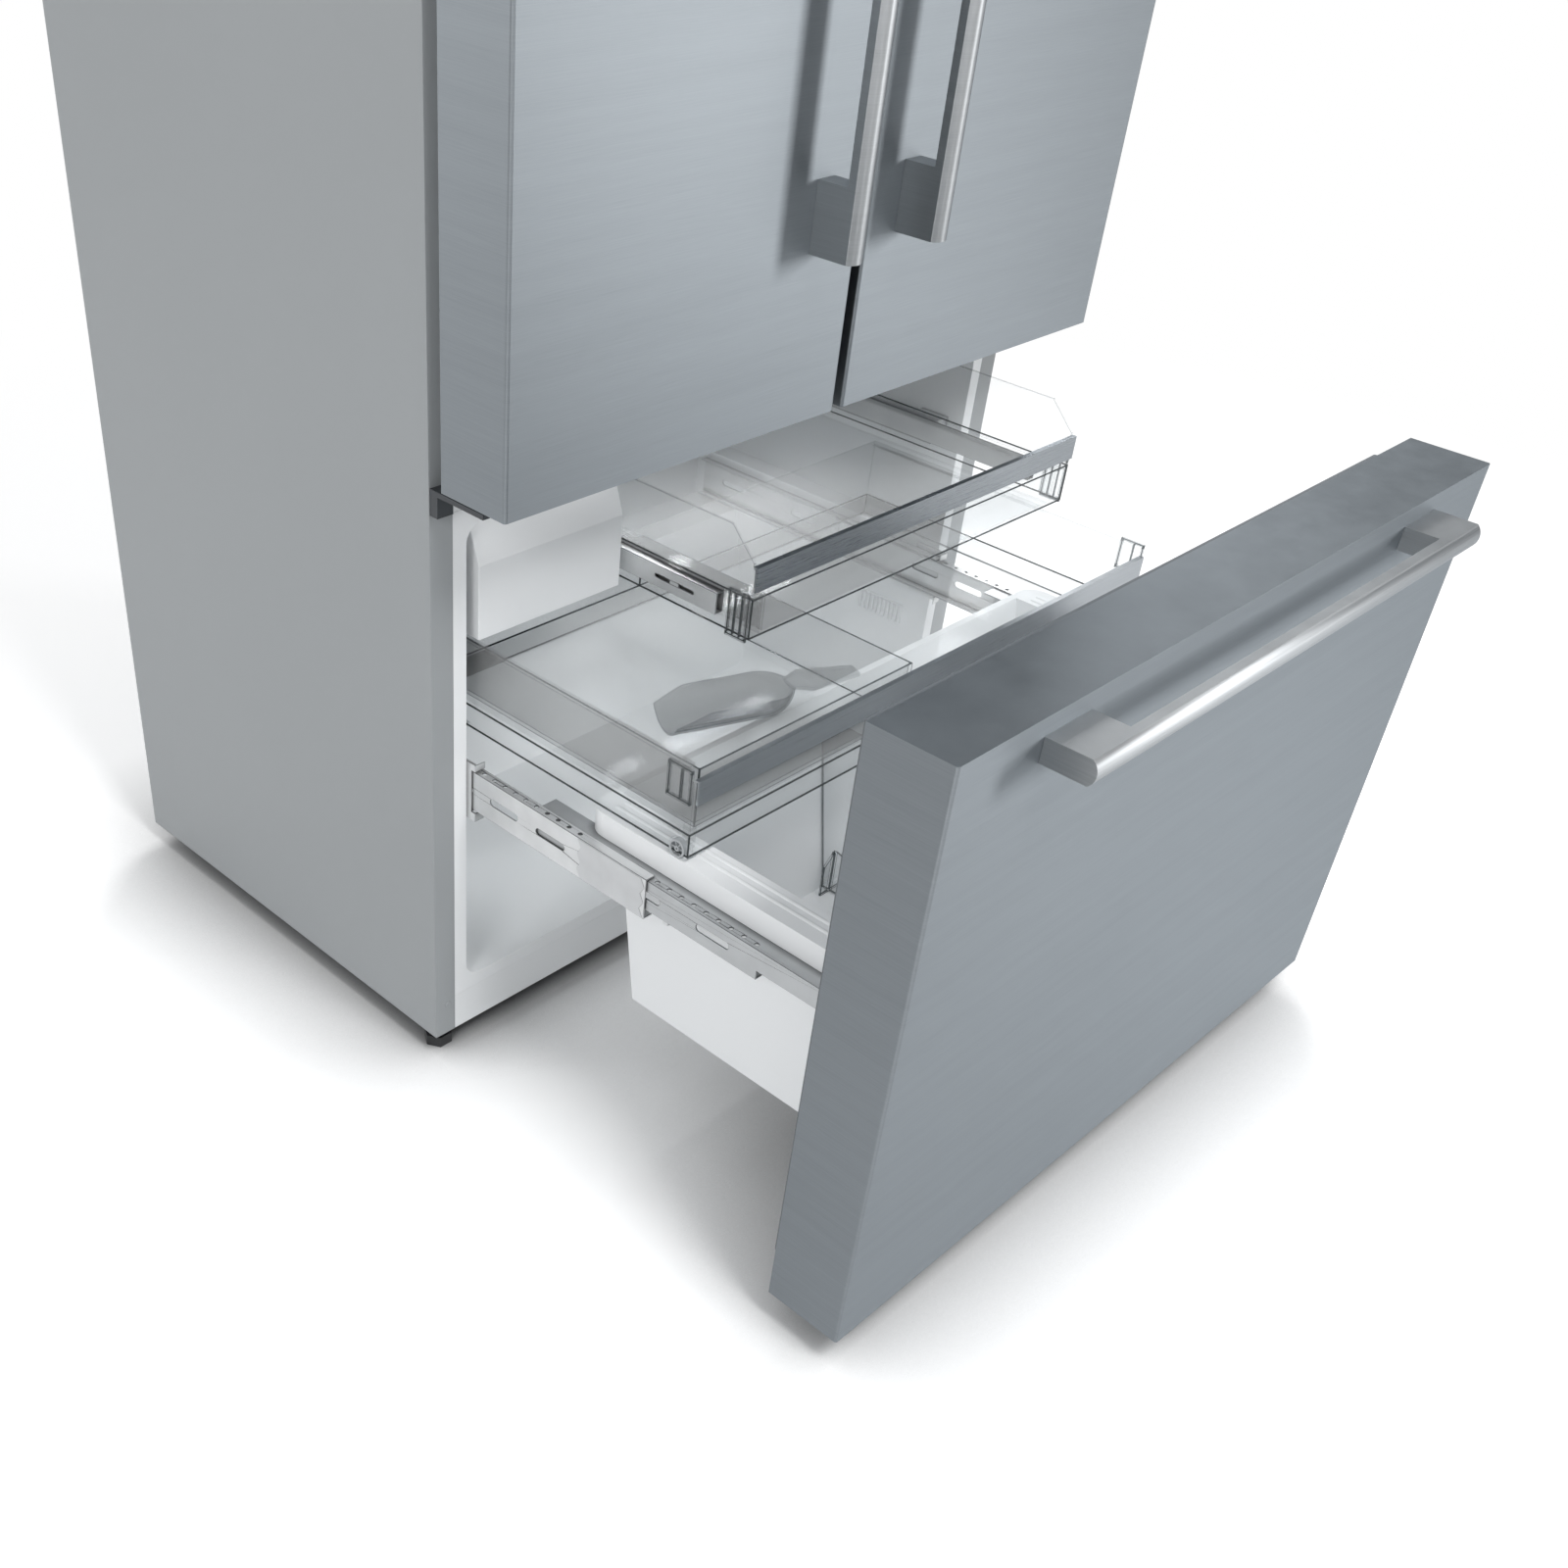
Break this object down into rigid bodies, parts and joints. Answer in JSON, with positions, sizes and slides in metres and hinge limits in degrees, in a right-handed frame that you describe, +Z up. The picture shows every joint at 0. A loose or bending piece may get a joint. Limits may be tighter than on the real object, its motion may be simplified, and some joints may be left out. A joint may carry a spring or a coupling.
{
  "type": "french door fridge freezer",
  "caption": "Free-standing refrigerator with two hinged doors above, a pull-out freezer drawer below and clear sliding trays inside it.",
  "frame": {"origin": "under the middle of the whole appliance's box at floor level, with the freezer drawer and its trays pulled out", "axes": "+X to the right seen from the front, +Y towards the back, +Z up"},
  "size_m": [0.912, 1.235, 1.8153],
  "materials": {
    "painted_side": "satin grey powder coat",
    "zinc_steel": "bright zinc",
    "hinge_steel": "dark satin paint",
    "white_plastic": "smooth vacuum formed",
    "white_paint": "gloss white paint",
    "foam": "rigid foam",
    "black_steel": "black enamel",
    "fin_metal": "thin fins",
    "black_plastic": "moulded",
    "grey_plastic": "moulded",
    "pale_plastic": "moulded",
    "shelf_glass": "clear",
    "clear_plastic": "clear moulded",
    "stainless": "brushed, fine grain",
    "seal": "soft extruded"
  },
  "bodies": {
    "cabinet": {"cabinet_wrapper": "painted_side", "back_panel": "painted_side", "base_pan": "zinc_steel", "base_rail": "white_paint", "mullion_rail": "white_paint", "fridge_liner": "white_plastic", "freezer_liner": "white_plastic", "cabinet_foam": "foam", "compressor": "black_steel", "condenser": "fin_metal", "rear_cover": "painted_side", "power_inlet": "black_plastic", "evaporator": "fin_metal", "evaporator_cover": "white_plastic", "fridge_duct": "white_plastic", "front_feet": "black_plastic", "door_hinges": "hinge_steel", "hinge_covers": "grey_plastic", "shelf_glasses": "shelf_glass", "shelf_frames": "pale_plastic", "control_panel": "pale_plastic", "ice_maker": "grey_plastic", "ice_maker_cover": "white_plastic", "fixed_rails": "zinc_steel"},
    "drawer": {"drawer_skin": "stainless", "drawer_foam": "foam", "drawer_liner": "white_plastic", "drawer_gasket": "seal", "drawer_handle": "stainless", "drawer_rails": "zinc_steel", "freezer_bin": "white_plastic", "bin_divider": "clear_plastic"},
    "middle_rails": {"middle_rails": "zinc_steel"},
    "middle_tray": {"middle_tray": "clear_plastic", "middle_tray_trim": "stainless", "ice_bin": "clear_plastic", "ice_scoop": "clear_plastic"},
    "tray_rollers": {"tray_rollers": "pale_plastic"},
    "upper_tray": {"upper_tray": "clear_plastic", "upper_tray_trim": "stainless", "tray_rails": "zinc_steel"},
    "left_door": {"left_door_skin": "stainless", "left_door_foam": "foam", "left_door_liner": "white_plastic", "left_door_gasket": "seal", "left_door_handle": "stainless", "left_door_shelves": "clear_plastic"},
    "mullion_flap": {"mullion_flap": "grey_plastic"},
    "right_door": {"right_door_skin": "stainless", "right_door_foam": "foam", "right_door_liner": "white_plastic", "right_door_gasket": "seal", "right_door_handle": "stainless", "right_door_shelves": "clear_plastic"},
    "crisper_left": {"crisper_left": "clear_plastic"},
    "crisper_right": {"crisper_right": "clear_plastic"},
    "deli_drawer": {"deli_drawer": "clear_plastic"},
    "condenser_fan": {"condenser_fan": "black_plastic"},
    "evaporator_fan": {"evaporator_fan": "black_plastic"},
    "rear_rollers": {"rear_rollers": "black_plastic"}
  },
  "joints": [
    {"name": "freezer_drawer_slide", "type": "slide", "parent": "cabinet", "child": "drawer", "axis": [0, 1, 0], "range_m": [-0.018, 0.492]},
    {"name": "middle_rails_slide", "type": "slide", "parent": "cabinet", "child": "middle_rails", "axis": [0, 1, 0], "range_m": [-0.0095, 0.2465]},
    {"name": "middle_tray_slide", "type": "slide", "parent": "cabinet", "child": "middle_tray", "axis": [0, 1, 0], "range_m": [-0.011, 0.2865]},
    {"name": "tray_roller_spin", "type": "hinge", "parent": "middle_tray", "child": "tray_rollers", "pos_m": [0.377, -0.2445, 0.41], "axis": [1, 0, 0], "range_deg": [-50, 1225]},
    {"name": "upper_tray_slide", "type": "slide", "parent": "cabinet", "child": "upper_tray", "axis": [0, 1, 0], "range_m": [-0.0065, 0.1605]},
    {"name": "left_door_hinge", "type": "hinge", "parent": "cabinet", "child": "left_door", "pos_m": [-0.43, -0.0275, 0.7], "axis": [0, 0, -1], "range_deg": [0, 130]},
    {"name": "mullion_flap_fold", "type": "hinge", "parent": "left_door", "child": "mullion_flap", "pos_m": [-0.0317, 0.0438, 0.738], "axis": [0, 0, 1], "range_deg": [0, 87]},
    {"name": "right_door_hinge", "type": "hinge", "parent": "cabinet", "child": "right_door", "pos_m": [0.43, -0.0275, 0.7], "axis": [0, 0, 1], "range_deg": [0, 130]},
    {"name": "crisper_left_slide", "type": "slide", "parent": "cabinet", "child": "crisper_left", "axis": [0, -1, 0], "range_m": [0, 0.09]},
    {"name": "crisper_right_slide", "type": "slide", "parent": "cabinet", "child": "crisper_right", "axis": [0, -1, 0], "range_m": [0, 0.09]},
    {"name": "deli_drawer_slide", "type": "slide", "parent": "cabinet", "child": "deli_drawer", "axis": [0, -1, 0], "range_m": [0, 0.09]},
    {"name": "condenser_fan_spin", "type": "hinge", "parent": "cabinet", "child": "condenser_fan", "pos_m": [0.0205, 0.5125, 0.095], "axis": [1, 0, 0], "continuous": true},
    {"name": "evaporator_fan_spin", "type": "hinge", "parent": "cabinet", "child": "evaporator_fan", "pos_m": [0, 0.4875, 0.58], "axis": [0, 1, 0], "continuous": true},
    {"name": "rear_roller_spin", "type": "hinge", "parent": "cabinet", "child": "rear_rollers", "pos_m": [0.395, 0.5575, 0.02], "axis": [1, 0, 0], "continuous": true}
  ],
  "couplings": [
    {"joint": "middle_rails_slide", "follows": "freezer_drawer_slide", "ratio": 0.5},
    {"joint": "middle_tray_slide", "follows": "freezer_drawer_slide", "ratio": 0.5813},
    {"joint": "tray_roller_spin", "follows": "freezer_drawer_slide", "rad_per_m": 43.16},
    {"joint": "upper_tray_slide", "follows": "freezer_drawer_slide", "ratio": 0.3252},
    {"joint": "mullion_flap_fold", "follows": "left_door_hinge", "ratio": 0.66}
  ]
}
